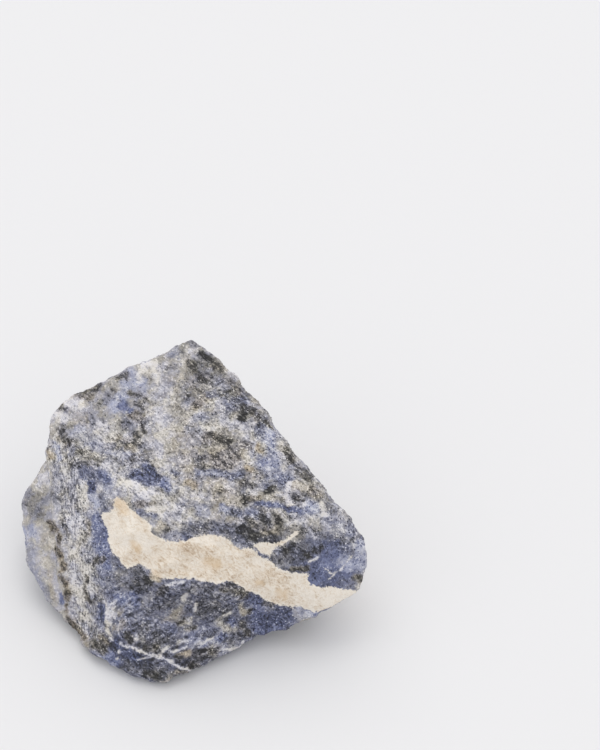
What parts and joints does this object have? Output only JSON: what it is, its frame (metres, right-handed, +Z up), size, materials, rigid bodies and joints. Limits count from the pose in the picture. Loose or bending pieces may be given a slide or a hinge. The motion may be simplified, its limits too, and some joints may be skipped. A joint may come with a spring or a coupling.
{
  "type": "rough sodalite stone",
  "caption": "Rough broken lump of blue-grey sodalite crossed by a pale vein, resting on a small flat spot; for display, a collection or a prop.",
  "frame": {"origin": "on the surface that the stone rests on, under the middle of its bounding box", "axes": "+Z up, +X along the length towards the pointed right tip, -Y towards the side that the pale vein crosses"},
  "size_m": [0.083, 0.072, 0.0475],
  "materials": {
    "sodalite": "broken, unpolished sodalite: grey and violet-blue grains with a dull sparkle, and a cream feldspar vein"
  },
  "bodies": {
    "root": {"rough_sodalite": "sodalite"}
  },
  "joints": []
}
